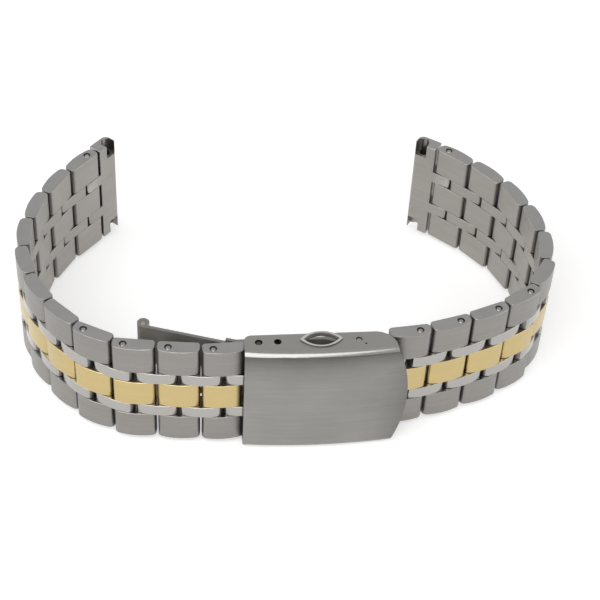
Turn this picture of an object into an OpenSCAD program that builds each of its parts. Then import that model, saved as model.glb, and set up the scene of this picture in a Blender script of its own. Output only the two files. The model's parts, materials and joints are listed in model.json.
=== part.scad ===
// Two-tone five-row metal watch bracelet with a stamped fold-over clasp.
// It stands on its edge and bends round the wrist as photographed.
// Millimetres. +Z runs across the band, -Y is the clasp's outer face,
// and the origin is the centre of the underside's outline.

/* [Band] */
// Width of the band across its five rows
band_w = 20; // [19:0.5:22]
// Distance from one hinge pin to the next
link_pitch = 7.1; // [6.9:0.1:7.6]
// Thickness of a link at its crown
link_t = 2.5; // [2.4:0.1:2.7]
// Width of a link in the two outer rows
outer_row_w = 5.2; // [5:0.1:5.4]
// Width of a narrow link between an outer and a centre link
inter_row_w = 2.15; // [2.0:0.05:2.3]
// Side gap between neighbouring rows
row_gap = 0.075; // [0.05:0.005:0.1]
// Gap between the tips of two links in one row
tip_gap = 0.32; // [0.28:0.02:0.4]
// Distance from a link's tip to its hinge axis
hinge_inset = 1.76; // [1.7:0.02:1.8]
// Radius of the crown over a link's outer face
crown_r = 12; // [10:1:16]
// Radius from a link's crown into its ends
face_corner_r = 0.9; // [0.7:0.1:1]
// Radius from a link's ends into its wrist side
corner_r = 0.6; // [0.5:0.05:0.7]

/* [Link pins] */
// Diameter of a link pin
pin_d = 0.85; // [0.8:0.05:0.95]
// Gap round a pin that stays fixed in its link
pin_seat = 0.015; // [0.01:0.005:0.02]
// Gap round a pin on which a link turns
pin_play = 0.05; // [0.03:0.01:0.07]
// Diameter of the open ring round the end of a removable pin
pin_ring_d = 1.25; // [1.15:0.05:1.35]
// Depth of that ring
pin_ring_depth = 0.6; // [0.4:0.1:0.9]
// Depth of a removable pin's end below the link's edge
pin_sink = 0.12; // [0.08:0.02:0.2]
// Metal left over the blind end of a hidden pin's hole
pin_cover = 1.1; // [0.8:0.1:1.4]
// Gap between a hidden pin's end and the bottom of its hole
pin_end_gap = 0.05; // [0.03:0.01:0.1]

/* [Strap ends] */
// Distance from the last hinge to the free end of an end piece
end_reach = 6.3; // [6.2:0.1:6.8]
// Diameter of the hole for the watch's spring bar
lug_bore_d = 1.5; // [1.3:0.1:1.6]
// Metal between the spring bar hole and the free end
lug_bore_wall = 0.6; // [0.5:0.05:0.7]
// Width of the tool slot that uncovers the spring bar
tool_slot_l = 2.2; // [2:0.1:2.3]
// Height of the tool slot, from the band's edge
tool_slot_h = 2.6; // [2.2:0.2:3]
// Depth to which the tool slot is cut past the hole's axis
tool_slot_past = 0.3; // [0.2:0.05:0.35]
// Radius of the free end's outer edge
end_round_r = 1.1; // [0.8:0.1:1.1]

/* [Clasp cover] */
// Thickness of the cover's sheet
cover_t = 0.7; // [0.6:0.05:0.8]
// Gap between the band's edge and the cover's side over it
strap_side_gap = 0.1; // [0.08:0.02:0.2]
// Length of the cover from its straight end to the tip of its round end
cover_l = 26.4; // [26.2:0.1:27]
// Distance from the straight end to the first spring bar hole
cover_lead = 2.3; // [2.2:0.1:2.4]
// Length by which the round end bulges
cover_bulge = 2.2; // [1.8:0.1:2.6]
// Radius to which the cover is bent along the band
cover_bow_r = 110; // [100:5:140]
// Outer radius of the bend from the front into the sides
cover_bend_r = 1.2; // [1.1:0.1:1.5]
// Distance from the spring bar's axis out to the front face's crown
cover_front = 3.4; // [3.3:0.05:3.7]
// Distance from the spring bar's axis in to the sides' inner edge
cover_side = 1.6; // [1.5:0.05:1.6]
// Radius of the sides' corner at the straight end
side_corner_r = 1.2; // [0.8:0.1:1.5]
// Radius of the sides' corner at the round end
side_round_r = 3.4; // [3.2:0.1:3.4]
// Length of the finger opening in each side
finger_l = 5.6; // [5.2:0.1:6.2]
// Width of the finger opening
finger_w = 2.8; // [2.4:0.1:2.9]
// Width of the raised rim round the finger opening
finger_rim = 0.3; // [0.25:0.05:0.4]
// Height of that rim above the side
finger_rim_h = 0.2; // [0.15:0.05:0.35]
// Distance from the first spring bar hole to the finger opening's centre
finger_x = 9.9; // [9.7:0.1:10.1]
// Distance from the spring bar's axis in to the finger opening's centre
finger_y = 0.2; // [0.1:0.05:0.2]
// Diameter of the round dimple beside the cover's hinge
dimple_d = 0.35; // [0.3:0.05:0.4]
// Depth of that dimple
dimple_depth = 0.2; // [0.1:0.05:0.3]

/* [Spring bar] */
// Diameter of the spring bar's tube
bar_d = 1.3; // [1.2:0.1:1.4]
// Diameter of the spring bar's sliding tips
bar_tip_d = 0.8; // [0.7:0.05:0.85]
// Diameter of the spring bar holes in the cover
adjust_hole_d = 1.2; // [1.1:0.05:1.25]
// Distance between the spring bar holes
adjust_step = 3; // [2.8:0.1:3.1]
// Gap between the spring bar's tube and the cover's sides
bar_end_gap = 0.6; // [0.4:0.1:0.9]
// Depth of the holes in which the tips slide
bar_bore_l = 3; // [2.5:0.5:4]

/* [Fold-over blades] */
// Thickness of the blades' sheet
blade_t = 0.55; // [0.5:0.05:0.6]
// Gap between the frame blade and the inner blade
blade_gap = 0.1; // [0.08:0.02:0.15]
// Distance from the spring bar's axis in to the frame blade
blade_y = 1.45; // [1.45:0.05:1.55]
// Distance from the cover's hinge to the tip of its round end
cover_hinge_back = 8.25; // [8.15:0.05:8.4]
// Diameter of the pin that joins the cover and the frame blade
cover_pin_d = 1; // [0.9:0.05:1.1]
// Depth of that pin's ends below the cover's sides
cover_pin_sink = 0.2; // [0.1:0.05:0.3]
// Outer radius of the frame blade's ears
ear_r = 1.25; // [1.1:0.05:1.4]
// Length of the frame blade's ears where they leave its plate
ear_l = 4; // [3.6:0.1:4.4]
// Distance from the band's edge to the frame blade's edge inside the cover
frame_wide_in = 0.4; // [0.3:0.05:0.6]
// Distance from the band's edge to the frame blade's edge beyond the cover
frame_narrow_in = 1.15; // [1:0.05:1.4]
// Length by which the wide part shows beyond the cover's straight end
frame_shoulder = 2.8; // [2.6:0.1:3]
// Distance from the blade hinge's axis back to the frame blade's web
frame_notch = 2; // [1.5:0.1:2.4]
// Length of that web, which joins the two rails
frame_web = 1.7; // [1.4:0.1:2]
// Distance from the band's edge to the inner blade's edge
inner_blade_in = 5.35; // [5.15:0.05:5.55]
// Distance from the first spring bar hole to the blades' bend
blade_bend_x = 3.5; // [3.3:0.1:3.9]
// Angle by which the blades bend in towards the wrist
blade_bend = 18.5; // [17:0.5:20]
// Length of the blades from their bend to their hinge
blade_reach = 15.5; // [15:0.1:16]
// Outer radius of the blade hinge's knuckles
knuckle_r = 1; // [0.9:0.05:1.05]
// Gap between neighbouring knuckles
knuckle_gap = 0.35; // [0.3:0.05:0.5]
// Distance from the right strap's last hinge to the tip of the round end
strap_hinge_back = 5.1; // [4.9:0.05:5.15]
// Gap between the inner blade's shoulders and the strap's narrow links
neck_clear = 0.25; // [0.2:0.05:0.35]

/* [Pose on the wrist] */
// Inward turn at each left hinge, from the clasp out to the end piece
left_turns = [-2, 8, 3, 21, 18, 12, 15, 17, 15, 13, 11, 0];
// Inward turn at each right hinge, from the clasp out to the end piece
right_turns = [6, 9, 6, 11, 24, 25, 17, 13, 15, 10, 8];
// Number of removable pins next to the clasp, on each strap
removable_pins = 4; // [2:1:5]

/* [Hidden] */
$fn = 64;
sheet_fn = 360;    // facets of the large radii
cut = 1;           // overlap that a cutting shape has at its open ends

LEFT = -1;
RIGHT = 1;
left_links = len(left_turns) - 1;
right_links = len(right_turns) - 1;

// Heights: the rims of the finger openings touch the ground
cover_z0 = finger_rim_h;
cover_over = cover_t + strap_side_gap;
cover_w = band_w + 2 * cover_over;
cover_z1 = cover_z0 + cover_w;
top_z = cover_z1 + finger_rim_h;

// Rows across the band
edge_z = cover_z0 + cover_over;
band_top_z = edge_z + band_w;
inter_z = edge_z + outer_row_w + row_gap;
centre_z = inter_z + inter_row_w + row_gap;
centre_row_w = band_w - 2 * (outer_row_w + inter_row_w + 2 * row_gap);
mid_z = edge_z + band_w / 2;

// Links along the band: a unit's own frame has its clasp-side hinge at
// x = 0 and its outer hinge at x = link_pitch, with the wrist at +Y
half_t = link_t / 2;
link_l = link_pitch - tip_gap;
column_x = hinge_inset + tip_gap;
inter_x = column_x + link_pitch / 2 - link_l - tip_gap;
fixed_pin_x = (column_x + inter_x + link_l) / 2;
lug_bore_x = end_reach - lug_bore_wall - lug_bore_d / 2;

// Clasp cover: its first spring bar hole is at x = 0, y = 0
cover_x = -cover_lead;
cover_tip_x = cover_x + cover_l;
side_end_x = cover_tip_x - cover_bulge;
bow_x = (cover_x + side_end_x) / 2;
bow_y = cover_bow_r - cover_front;
bulge_r = (pow(cover_w / 2, 2) + pow(cover_bulge, 2)) / (2 * cover_bulge);
cover_hinge_x = cover_tip_x - cover_hinge_back;
strap_hinge_x = cover_tip_x - strap_hinge_back;
dimple_x = cover_hinge_x + cover_pin_d;
dimple_y = -cover_pin_d;

// Blades: the frame blade lies next to the strap, the inner blade on it
inner_y = blade_y + blade_t + blade_gap;
bend_point = [-blade_bend_x, blade_y];
slope_run = [-cos(blade_bend), sin(blade_bend)];
slope_in = [sin(blade_bend), cos(blade_bend)];
blade_hinge = bend_point + blade_reach * slope_run + knuckle_r * slope_in;
frame_wide_w = band_w - 2 * frame_wide_in;
frame_narrow_w = band_w - 2 * frame_narrow_in;
inner_blade_w = band_w - 2 * inner_blade_in;
shoulder_reach = (cover_lead + frame_shoulder - blade_bend_x) / cos(blade_bend);
notch_reach = blade_reach - frame_notch;
window_w = inner_blade_w + 2 * knuckle_gap;
plate_x = cover_hinge_x - ear_r - ear_l / 2;
strap_hinge = [strap_hinge_x, inner_y + blade_t - knuckle_r];
neck_x = strap_hinge_x - norm([inter_x, half_t]) - neck_clear;

// Headings and hinges of a strap, counted out from the clasp
function sum_to(list, n) = n < 0 ? 0 : list[n] + sum_to(list, n - 1);
function turns(side) = side == LEFT ? left_turns : right_turns;
function strap_start(side) = side == LEFT ? [0, 0] : strap_hinge;
function heading(side, n) = sum_to(turns(side), n);
function step(side, n) =
    link_pitch * [side * cos(heading(side, n)), sin(heading(side, n))];
function hinge(side, n) =
    n == 0 ? strap_start(side) : hinge(side, n - 1) + step(side, n - 1);
function end_tip(side) =
    hinge(side, len(turns(side)) - 1)
    + end_reach / link_pitch * step(side, len(turns(side)) - 1);

// The outline's centre moves to the origin
left_x = min([for (n = [0:left_links]) hinge(LEFT, n)[0]]) - half_t;
right_x = max([for (n = [0:right_links]) hinge(RIGHT, n)[0]]) + half_t;
front_y = -cover_front;
back_y = max(end_tip(LEFT)[1], end_tip(RIGHT)[1]) + half_t / 2;
origin_shift = [-(left_x + right_x) / 2, -(front_y + back_y) / 2, 0];

// Link names count from the end pieces to the clasp, as a jeweller counts
function two_digits(n) = str(n < 10 ? "0" : "", n);
function link_number(side, n) = (side == LEFT ? left_links : right_links) - n;
function unit_name(side, n, piece) =
    str(side == LEFT ? "left_" : "right_", two_digits(link_number(side, n)), "_", piece);
function strap_nodes(side, links) = [
    for (n = [0:links - 1], piece = ["steel", "gold"]) unit_name(side, n, piece)
];

// Places a piece of one strap: n counts hinges out from the clasp
module on_strap(side, n) {
    translate(origin_shift)
        translate(concat(hinge(side, n), 0))
            mirror([side == LEFT ? 1 : 0, 0, 0])
                rotate([0, 0, heading(side, n)])
                    children();
}

module on_clasp() {
    translate(origin_shift)
        children();
}

module upright(x, y, d, z0, z1) {
    translate([x, y, z0])
        cylinder(h = z1 - z0, d = d);
}

module row(z0, width) {
    translate([0, 0, z0])
        linear_extrude(height = width)
            children();
}

// Outline of a link seen along its pins: flat to the wrist and crowned
// outside, with a round corner from the crown into each end
module link_outline(x0) {
    face_x = link_l / 2 - face_corner_r;
    face_y = crown_r - half_t - sqrt(pow(crown_r - face_corner_r, 2) - pow(face_x, 2));
    crown_x = face_x * crown_r / (crown_r - face_corner_r);
    wrist_x = link_l / 2 - corner_r;
    wrist_y = half_t - corner_r;
    translate([x0 + link_l / 2, 0]) {
        intersection() {
            translate([-crown_x, -link_t])
                square([2 * crown_x, link_t + wrist_y]);
            translate([0, crown_r - half_t])
                circle(crown_r, $fn = sheet_fn);
        }
        for (side = [LEFT, RIGHT]) {
            translate([side * face_x, face_y])
                circle(face_corner_r);
            translate([side * wrist_x, wrist_y])
                circle(corner_r);
        }
        translate([-link_l / 2, face_y])
            square([link_l, wrist_y - face_y]);
        translate([-wrist_x, face_y])
            square([2 * wrist_x, half_t - face_y]);
    }
}

// Round hole through the whole height
module through_hole(x, y, d) {
    upright(x, y, d, -cut, top_z + cut);
}

module pin_hole(x, gap) {
    through_hole(x, 0, pin_d + 2 * gap);
}

// The hidden pins are pressed in from the lower edge. The removable
// ones go right through, with an open ring round each end.
module hidden_hole(x) {
    upright(x, 0, pin_d + 2 * pin_seat, -cut, band_top_z - pin_cover);
}

module hidden_pin(x) {
    upright(x, 0, pin_d, edge_z, band_top_z - pin_cover - pin_end_gap);
}

module removable_hole(x) {
    pin_hole(x, pin_seat);
    upright(x, 0, pin_ring_d, -cut, edge_z + pin_ring_depth);
    upright(x, 0, pin_ring_d, band_top_z - pin_ring_depth, top_z + cut);
}

module removable_pin(x) {
    upright(x, 0, pin_d, edge_z + pin_sink, band_top_z - pin_sink);
}

// The pins next to the clasp and beside each end piece come out
function is_removable(side, n) = n < removable_pins || link_number(side, n) == 1;

module outer_rows() {
    for (z = [edge_z, band_top_z - outer_row_w])
        row(z, outer_row_w)
            children();
}

module narrow_rows() {
    for (z = [inter_z, band_top_z - outer_row_w - row_gap - inter_row_w])
        row(z, inter_row_w)
            children();
}

// Two outer links and the two narrow links that join them to the unit
// before, with the two pins that they hold
module unit_steel(side, n) {
    on_strap(side, n) {
        difference() {
            outer_rows()
                link_outline(column_x);
            hidden_hole(fixed_pin_x);
            if (is_removable(side, n))
                removable_hole(link_pitch);
            else
                hidden_hole(link_pitch);
        }
        difference() {
            narrow_rows()
                link_outline(inter_x);
            pin_hole(fixed_pin_x, pin_seat);
            if (side == LEFT && n == 0)
                through_hole(0, 0, bar_d + 2 * pin_play);
            else if (n == 0)
                pin_hole(0, pin_seat);
            else
                pin_hole(0, pin_play);
        }
        hidden_pin(fixed_pin_x);
        if (is_removable(side, n))
            removable_pin(link_pitch);
        else
            hidden_pin(link_pitch);
    }
}

module unit_gold(side, n) {
    on_strap(side, n)
        difference() {
            row(centre_z, centre_row_w)
                link_outline(column_x);
            pin_hole(fixed_pin_x, pin_seat);
            pin_hole(link_pitch, pin_seat);
        }
}

// Outline of an end piece's body: square, with a rounded outer edge
module end_outline() {
    difference() {
        union() {
            translate([column_x, -half_t])
                square([end_reach - column_x - end_round_r, link_t]);
            translate([column_x, end_round_r - half_t])
                square([end_reach - column_x, link_t - end_round_r - corner_r]);
            translate([end_reach - end_round_r, end_round_r - half_t])
                circle(end_round_r);
            translate([end_reach - corner_r, half_t - corner_r])
                circle(corner_r);
            translate([end_reach - end_round_r, half_t - 2 * corner_r])
                square([end_round_r - corner_r, 2 * corner_r]);
        }
        translate([lug_bore_x, 0])
            circle(d = lug_bore_d);
    }
}

// The part of a narrow link's outline that reaches from the hinge to
// just inside the end piece's body
module finger_stub() {
    intersection() {
        link_outline(inter_x);
        translate([inter_x - cut, -link_t])
            square([column_x + corner_r - inter_x + cut, 2 * link_t]);
    }
}

module end_piece(side, n) {
    on_strap(side, n)
        difference() {
            union() {
                row(edge_z, band_w)
                    end_outline();
                difference() {
                    narrow_rows()
                        finger_stub();
                    pin_hole(0, pin_play);
                }
            }
            for (z = [edge_z - cut, band_top_z - tool_slot_h])
                translate([lug_bore_x - tool_slot_l / 2, -tool_slot_past, z])
                    cube([tool_slot_l, link_t, tool_slot_h + cut]);
        }
}

module left_end_piece() {
    color("silver")
        end_piece(LEFT, left_links);
}

module right_end_piece() {
    color("silver")
        end_piece(RIGHT, right_links);
}

// Rectangle from x0 to x1 and from y = 0 up, round at its two outer corners
module section_blank(x0, x1, height, r) {
    translate([x0, 0])
        square([x1 - r - x0, height]);
    translate([x0, r])
        square([x1 - x0, height - 2 * r]);
    for (y = [r, height - r])
        translate([x1 - r, y])
            circle(r);
}

// Section of the cover's sheet, as x out from the bow's axis and y up:
// a front wall with a rounded bend into each side
module cover_section() {
    section_x = cover_bow_r - 2 * cover_front - cover_side;
    difference() {
        section_blank(section_x, cover_bow_r, cover_w, cover_bend_r);
        translate([-cut, cover_t])
            section_blank(
                section_x, cover_bow_r - cover_t + cut,
                cover_w - 2 * cover_t, cover_bend_r - cover_t
            );
    }
}

// Outline of the cover seen along the pins: its sides, and the front
// where it bulges past them
module side_outline() {
    flank_l = side_end_x - cover_x;
    translate([cover_x, -2 * cover_front])
        square([flank_l + cover_bulge + cut, 2 * cover_front + cover_side - side_round_r]);
    translate([cover_x, -cover_front])
        square([flank_l - side_round_r, cover_front + cover_side - side_corner_r]);
    translate([cover_x + side_corner_r, -cover_front])
        square([flank_l - side_corner_r - side_round_r, cover_front + cover_side]);
    translate([cover_x + side_corner_r, cover_side - side_corner_r])
        circle(side_corner_r);
    translate([side_end_x - side_round_r, cover_side - side_round_r])
        circle(side_round_r);
}

// Outline of the front seen from outside: one straight and one round end
module front_outline() {
    intersection() {
        translate([cover_x, 0])
            square([cover_l + cut, cover_w]);
        translate([cover_tip_x - bulge_r, cover_w / 2])
            circle(bulge_r, $fn = sheet_fn);
    }
    translate([cover_x, 0])
        square([cover_l / 2, cover_w]);
}

module cover_sheet() {
    intersection() {
        translate([bow_x, bow_y, 0])
            rotate_extrude($fn = sheet_fn)
                cover_section();
        translate([0, cover_side, 0])
            rotate([90, 0, 0])
                linear_extrude(height = cover_side + 2 * cover_front)
                    front_outline();
        translate([0, 0, -cut])
            linear_extrude(height = cover_w + 2 * cut)
                side_outline();
    }
}

// Pointed oval between two arcs, about its centre
module pointed_oval(length, width) {
    r = (pow(length, 2) + pow(width, 2)) / (4 * width);
    intersection_for (s = [-1, 1])
        translate([0, s * (r - width / 2)])
            circle(r, $fn = sheet_fn);
}

module clasp_cover() {
    rim_l = finger_l + 2 * finger_rim * finger_l / finger_w;
    color("darkgray")
        on_clasp()
            difference() {
                union() {
                    translate([0, 0, cover_z0])
                        cover_sheet();
                    for (z = [0, cover_z1 - cover_t])
                        translate([finger_x, finger_y, z])
                            linear_extrude(height = cover_t + finger_rim_h)
                                pointed_oval(rim_l, finger_w + 2 * finger_rim);
                }
                translate([finger_x, finger_y, -cut])
                    linear_extrude(height = top_z + 2 * cut)
                        pointed_oval(finger_l, finger_w);
                for (x = [0, adjust_step])
                    through_hole(x, 0, adjust_hole_d);
                through_hole(cover_hinge_x, 0, cover_pin_d + 2 * pin_seat);
                upright(dimple_x, dimple_y, dimple_d, cover_z1 - dimple_depth, top_z);
                upright(dimple_x, dimple_y, dimple_d, 0, cover_z0 + dimple_depth);
            }
}

// A tube with a sliding tip in each end, sprung out into the cover
module spring_bar() {
    tube_z0 = cover_z0 + cover_t + bar_end_gap;
    tube_z1 = cover_z1 - cover_t - bar_end_gap;
    bore_d = bar_tip_d + 2 * pin_play;
    color("lightgray")
        on_clasp() {
            difference() {
                upright(0, 0, bar_d, tube_z0, tube_z1);
                upright(0, 0, bore_d, tube_z0 - cut, tube_z0 + bar_bore_l);
                upright(0, 0, bore_d, tube_z1 - bar_bore_l, tube_z1 + cut);
            }
            upright(0, 0, bar_tip_d, cover_z0 + pin_sink, tube_z0 + bar_bore_l - bar_end_gap);
            upright(0, 0, bar_tip_d, tube_z1 - bar_bore_l + bar_end_gap, cover_z1 - pin_sink);
        }
}

module cover_pin() {
    color("lightgray")
        on_clasp()
            upright(
                cover_hinge_x, 0, cover_pin_d,
                cover_z0 + cover_pin_sink, cover_z1 - cover_pin_sink
            );
}

// A blade seen along the pins, from its clasp-side end at x1 past the
// bend. Its outer face lies the given offset in from the frame blade's.
module blade_strip(offset, x1, reach) {
    outer = offset;
    inner = offset + blade_t;
    corner = tan(blade_bend / 2);
    polygon([
        [x1, blade_y + outer],
        bend_point + [outer * corner, outer],
        bend_point + reach * slope_run + outer * slope_in,
        bend_point + reach * slope_run + inner * slope_in,
        bend_point + [inner * corner, inner],
        [x1, blade_y + inner]
    ]);
}

module centred_row(width) {
    row(mid_z - width / 2, width)
        children();
}

// Block across the blades' slope, between two distances past the bend
module slope_block(reach0, reach1, width) {
    translate(concat(bend_point, mid_z - width / 2))
        mirror([1, 0, 0])
            rotate([0, 0, blade_bend])
                translate([reach0, -cut, 0])
                    cube([reach1 - reach0, 2 * knuckle_r + 2 * cut, width]);
}

// Ear that reaches out from the frame blade's plate to the cover's hinge
module ear_outline() {
    ear_in_x = plate_x - ear_l / 2;
    translate([cover_hinge_x, 0])
        circle(ear_r);
    polygon([
        [cover_hinge_x - ear_r, 0],
        [cover_hinge_x + ear_r, 0],
        [plate_x + ear_l / 2, blade_y + blade_t],
        [ear_in_x, blade_y + blade_t],
        [ear_in_x, blade_y]
    ]);
}

// Carried by the cover's hinge, it holds the inner blade at its far end
module frame_blade() {
    color("darkgray")
        on_clasp()
            difference() {
                union() {
                    centred_row(frame_wide_w)
                        blade_strip(0, plate_x, shoulder_reach);
                    centred_row(frame_narrow_w)
                        blade_strip(0, plate_x, blade_reach);
                    translate(blade_hinge)
                        centred_row(frame_narrow_w)
                            circle(knuckle_r);
                    for (z = [mid_z - frame_wide_w / 2, mid_z + frame_wide_w / 2 - blade_t])
                        row(z, blade_t)
                            ear_outline();
                }
                slope_block(shoulder_reach, notch_reach - frame_web, window_w);
                slope_block(notch_reach, blade_reach + 2 * knuckle_r, window_w);
                through_hole(blade_hinge[0], blade_hinge[1], pin_d + 2 * pin_seat);
                through_hole(cover_hinge_x, 0, cover_pin_d + 2 * pin_play);
            }
}

module blade_pin() {
    color("lightgray")
        on_clasp()
            translate(blade_hinge)
                centred_row(frame_narrow_w)
                    circle(d = pin_d);
}

// Carried by the blade hinge, it holds the right strap's last pin in a
// curl at the end of its neck
module inner_blade() {
    offset = blade_t + blade_gap;
    neck_w = centre_row_w - 2 * row_gap;
    color("darkgray")
        on_clasp()
            difference() {
                union() {
                    centred_row(inner_blade_w) {
                        blade_strip(offset, neck_x, blade_reach);
                        translate(blade_hinge)
                            circle(knuckle_r);
                    }
                    centred_row(neck_w) {
                        blade_strip(offset, strap_hinge_x, 0);
                        translate(strap_hinge)
                            circle(knuckle_r);
                    }
                }
                through_hole(blade_hinge[0], blade_hinge[1], pin_d + 2 * pin_play);
                through_hole(strap_hinge[0], strap_hinge[1], pin_d + 2 * pin_play);
            }
}

module strap_pin() {
    color("lightgray")
        on_clasp()
            translate(strap_hinge)
                centred_row(band_w - 2 * outer_row_w - 2 * row_gap)
                    circle(d = pin_d);
}

clasp_cover();
spring_bar();
cover_pin();
frame_blade();
blade_pin();
inner_blade();
strap_pin();
left_end_piece();
right_end_piece();
for (side = [LEFT, RIGHT], n = [0:(side == LEFT ? left_links : right_links) - 1]) {
    color("silver")
            unit_steel(side, n);
    color("goldenrod")
            unit_gold(side, n);
}
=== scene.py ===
"""Looks of the two-tone watch bracelet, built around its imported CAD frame.

The links, end pieces and pins are made here with eased edges, each in the frame
of its own hinge. The clasp's sheet parts and the spring bar are the CAD shapes,
eased. Lengths in named values are millimetres, and turn to metres through MM.
Lengths inside shader groups and materials are metres.
"""
import json
from math import atan2, cos, hypot, pi, radians, sin, sqrt

import bmesh
import bpy
from mathutils import Matrix, Vector


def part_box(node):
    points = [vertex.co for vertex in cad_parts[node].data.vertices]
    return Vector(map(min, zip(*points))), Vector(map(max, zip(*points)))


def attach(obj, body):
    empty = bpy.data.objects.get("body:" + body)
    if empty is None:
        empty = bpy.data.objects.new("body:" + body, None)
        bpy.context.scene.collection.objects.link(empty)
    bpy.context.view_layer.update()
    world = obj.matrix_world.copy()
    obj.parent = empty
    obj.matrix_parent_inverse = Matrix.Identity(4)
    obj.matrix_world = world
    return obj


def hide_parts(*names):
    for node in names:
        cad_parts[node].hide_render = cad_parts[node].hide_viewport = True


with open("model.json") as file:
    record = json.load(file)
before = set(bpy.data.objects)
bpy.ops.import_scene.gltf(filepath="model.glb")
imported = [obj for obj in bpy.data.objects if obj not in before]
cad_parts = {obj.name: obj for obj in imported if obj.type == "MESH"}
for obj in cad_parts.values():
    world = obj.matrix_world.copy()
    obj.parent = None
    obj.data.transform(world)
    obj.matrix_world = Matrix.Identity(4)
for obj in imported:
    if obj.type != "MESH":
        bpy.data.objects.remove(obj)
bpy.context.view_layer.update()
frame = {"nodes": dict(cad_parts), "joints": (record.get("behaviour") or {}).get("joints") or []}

MM = 0.001
JOINTS = {joint["name"]: joint for joint in frame["joints"]}

# Links: the sizes that the frame doesn't tell
LINK_THICKNESS = 2.5
TIP_GAP = 0.32
HINGE_INSET = 1.76
CROWN_RADIUS = 12
FACE_CORNER = 0.9
WRIST_CORNER = 0.6
OUTER_ROW = 5.2
NARROW_ROW = 2.15
ROW_GAP = 0.075
LINK_EASE = 0.1

# Units between the clasp and each end piece
LEFT_UNITS = 11
RIGHT_UNITS = 10

# Pins and their holes
PIN_RADIUS = 0.425
PIN_SEAT = 0.015
PIN_PLAY = 0.05
RING_RADIUS = 0.625
RING_DEPTH = 0.6
PIN_SINK = 0.12
PIN_COVER = 1.1
PIN_EASE = 0.08
PIN_STEPS = 24
HOLE_STEPS = 20
BAR_RADIUS = 0.65
BAR_EASE = 0.06
REMOVABLE_NEXT_TO_CLASP = 4

# Free ends of the strap
END_REACH = 6.3
END_ROUND = 1.1
END_EASE = 0.2
LUG_BORE_RADIUS = 0.75
LUG_BORE_WALL = 0.6
TOOL_SLOT_LENGTH = 2.2
TOOL_SLOT_HEIGHT = 2.6
TOOL_SLOT_PAST = 0.3
CUT_PAST = 1
FINGER_OVERLAP = 0.4
CROWN_SINK = 0.02
END_TURN = {"left": 0, "right": 8}

# Sheet parts of the clasp
COVER_EASE = 0.1
BLADE_EASE = 0.07
SHEET_EASE_STEPS = 2
SHARP_ANGLE = radians(35)
FLAT_ANGLE = radians(0.2)
SAME_POINT = 0.0001

# Measures along a strap that follow from these
HALF_THICKNESS = LINK_THICKNESS / 2
PITCH = (
    Vector(JOINTS["left_hinge_11"]["pos_m"])
    - Vector(JOINTS["left_hinge_12"]["pos_m"])
).length / MM
LINK_LENGTH = PITCH - TIP_GAP
COLUMN_X = HINGE_INSET + TIP_GAP
NARROW_X = COLUMN_X + PITCH / 2 - LINK_LENGTH - TIP_GAP
FIXED_PIN_X = (COLUMN_X + NARROW_X + LINK_LENGTH) / 2
BAND_LOW, BAND_HIGH = (corner.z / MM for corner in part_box("left_05_steel"))
BAND_WIDTH = BAND_HIGH - BAND_LOW
BAND_MIDDLE = (BAND_HIGH + BAND_LOW) / 2
LUG_BORE_X = END_REACH - LUG_BORE_WALL - LUG_BORE_RADIUS
NARROW_LOW = OUTER_ROW + ROW_GAP
CENTRE_LOW = NARROW_LOW + NARROW_ROW + ROW_GAP


# Shader groups

def new_group(name, inputs, outputs):
    """Shader group with float inputs {name: value}, a Coordinate and float outputs."""
    group = bpy.data.node_groups.new(name, "ShaderNodeTree")
    group.interface.new_socket(
        "Coordinate", in_out="INPUT", socket_type="NodeSocketVector"
    )
    for socket_name, value in inputs.items():
        socket = group.interface.new_socket(
            socket_name, in_out="INPUT", socket_type="NodeSocketFloat"
        )
        socket.default_value = value
    for socket_name in outputs:
        group.interface.new_socket(
            socket_name, in_out="OUTPUT", socket_type="NodeSocketFloat"
        )
    return group, group.nodes.new("NodeGroupInput"), group.nodes.new("NodeGroupOutput")


def math_node(tree, operation, first, second, clamp=False):
    """Math node on two values, each a socket or a number; gives its output."""
    node = tree.nodes.new("ShaderNodeMath")
    node.operation = operation
    node.use_clamp = clamp
    for socket, value in zip(node.inputs, (first, second)):
        if isinstance(value, (int, float)):
            socket.default_value = value
        else:
            tree.links.new(value, socket)
    return node.outputs[0]


def noise_node(tree, coordinate, detail, roughness):
    """Noise texture at the scale that its coordinate already has."""
    node = tree.nodes.new("ShaderNodeTexNoise")
    node.inputs["Scale"].default_value = 1
    node.inputs["Detail"].default_value = detail
    node.inputs["Roughness"].default_value = roughness
    tree.links.new(coordinate, node.inputs["Vector"])
    return node.outputs["Fac"]


def spread_node(tree, value, low, high):
    """Stretches the middle of a noise value to 0..1."""
    node = tree.nodes.new("ShaderNodeMapRange")
    node.inputs["From Min"].default_value = low
    node.inputs["From Max"].default_value = high
    tree.links.new(value, node.inputs["Value"])
    return node.outputs["Result"]


def brush_group():
    """Lines left by a brushing belt that runs along the band.

    They are short across the band, which is Z, and long in every direction
    of the band's bends, so they follow each link whatever way it faces."""
    group, source, target = new_group(
        "belt_brushing", {"Line width": 0.0002, "Line length": 0.01}, ["Lines", "Bands"]
    )
    split = group.nodes.new("ShaderNodeSeparateXYZ")
    group.links.new(source.outputs["Coordinate"], split.inputs[0])
    for name, width_factor, length_factor, low, high in (
        ("Lines", 1, 1, 0.3, 0.7),
        ("Bands", 7, 2.5, 0.36, 0.64),
    ):
        width = math_node(group, "MULTIPLY", source.outputs["Line width"], width_factor)
        length = math_node(
            group, "MULTIPLY", source.outputs["Line length"], length_factor
        )
        stretched = group.nodes.new("ShaderNodeCombineXYZ")
        for axis, divisor in ((0, length), (1, length), (2, width)):
            scaled = math_node(group, "DIVIDE", split.outputs[axis], divisor)
            group.links.new(scaled, stretched.inputs[axis])
        noise = noise_node(group, stretched.outputs[0], 3, 0.6)
        group.links.new(spread_node(group, noise, low, high), target.inputs[name])
    return group


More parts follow.
